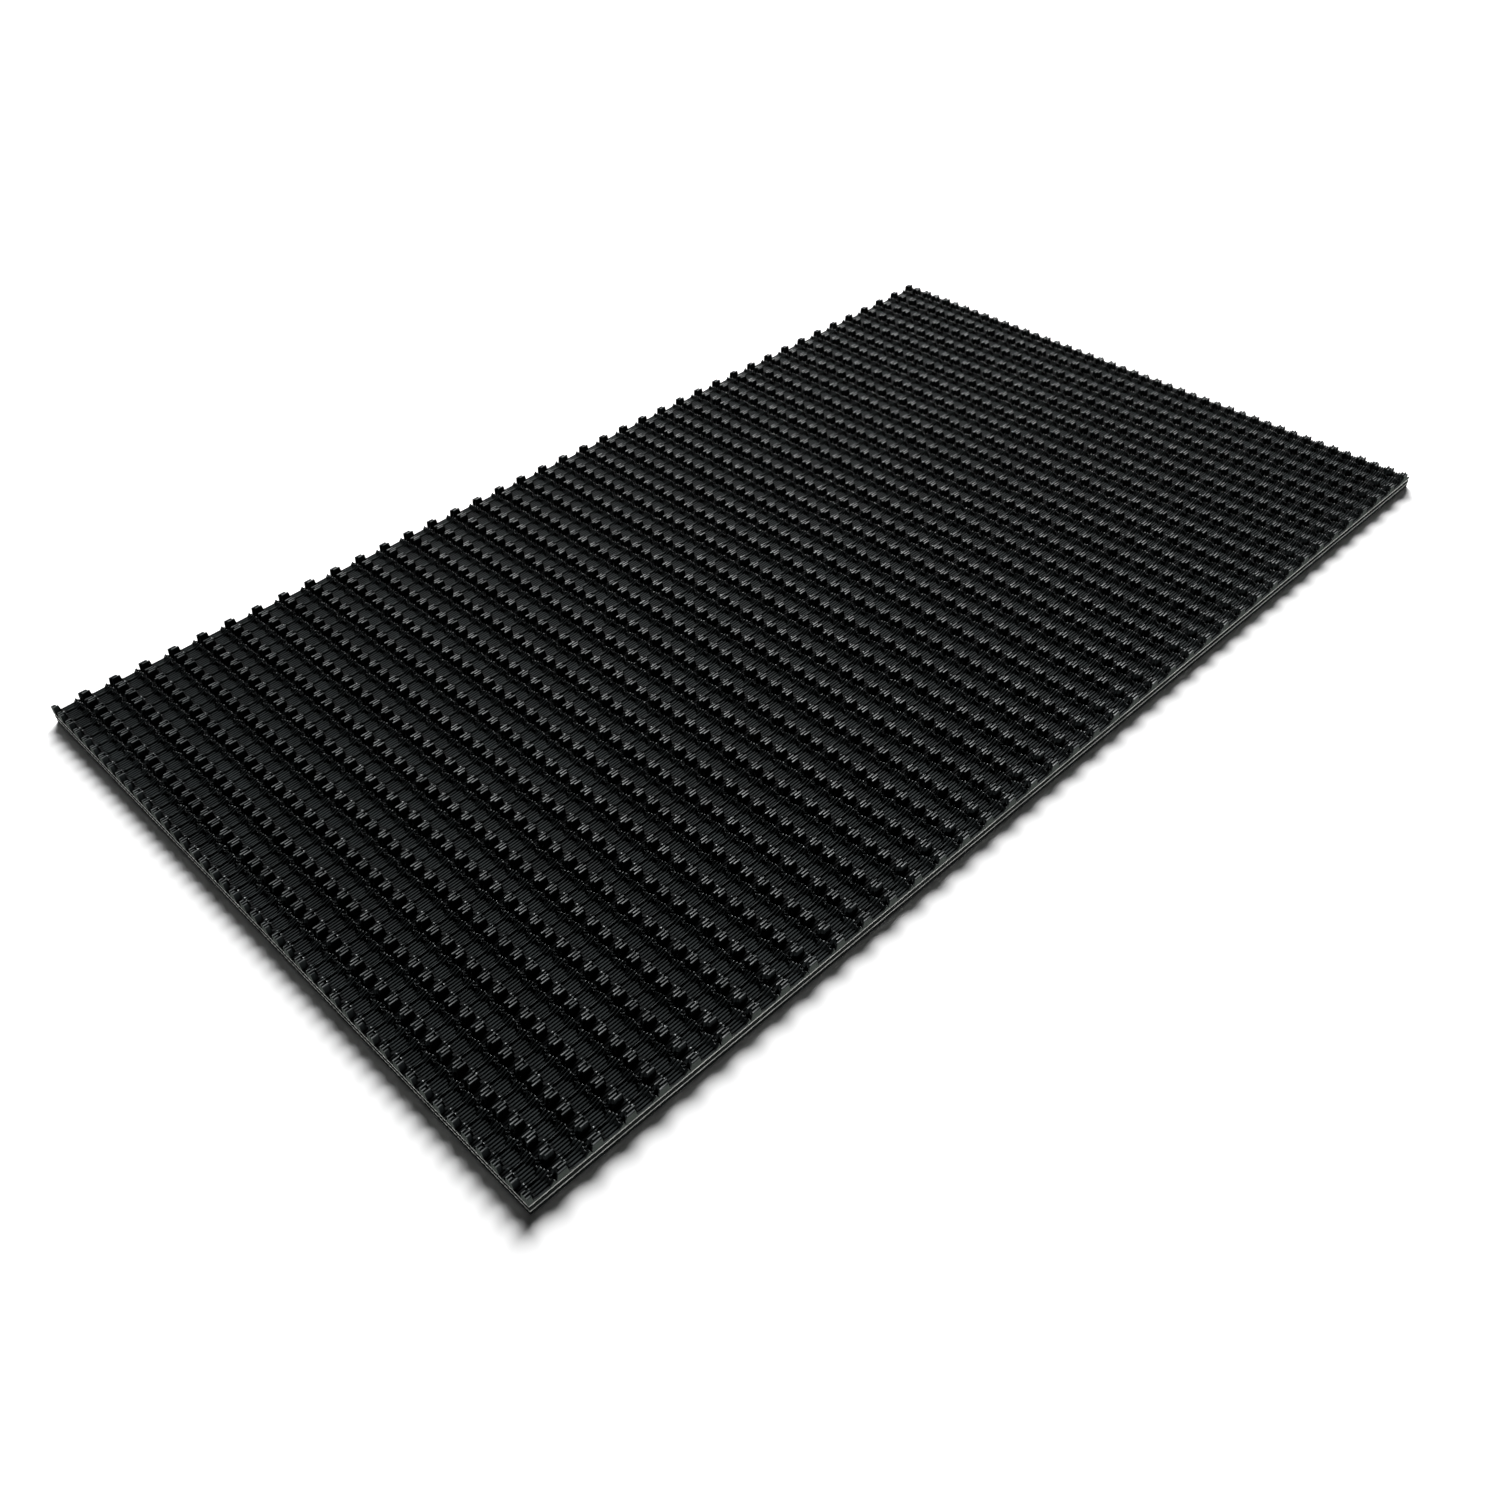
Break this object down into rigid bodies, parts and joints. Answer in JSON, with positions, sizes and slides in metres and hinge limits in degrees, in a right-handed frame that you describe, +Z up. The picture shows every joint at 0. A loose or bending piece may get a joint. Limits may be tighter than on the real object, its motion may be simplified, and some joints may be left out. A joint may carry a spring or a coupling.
{
  "type": "door mat",
  "caption": "Rectangular grip-top door mat cut from two-ply rubber sheet: a studded moulded cover over two fabric plies, with plain cut edges and a flat underside.",
  "frame": {"origin": "centre of the flat underside, which lies on the floor", "axes": "+X along the mat's length and its ribs, +Y across its width, +Z up out of the studded face"},
  "size_m": [0.6, 0.35, 0.0095],
  "materials": {
    "cover_rubber": "satin black moulded grip face, slightly glossy on its rib crests",
    "ply_fabric": "light grey woven polyester, seen only at the cut edges",
    "bonding_rubber": "matt black rubber between the plies",
    "base_rubber": "matt black underside with a fine cloth-like imprint"
  },
  "bodies": {
    "root": {"grip_cover": "cover_rubber", "upper_fabric_ply": "ply_fabric", "bonding_layer": "bonding_rubber", "lower_fabric_ply": "ply_fabric", "bottom_cover": "base_rubber"}
  },
  "joints": []
}
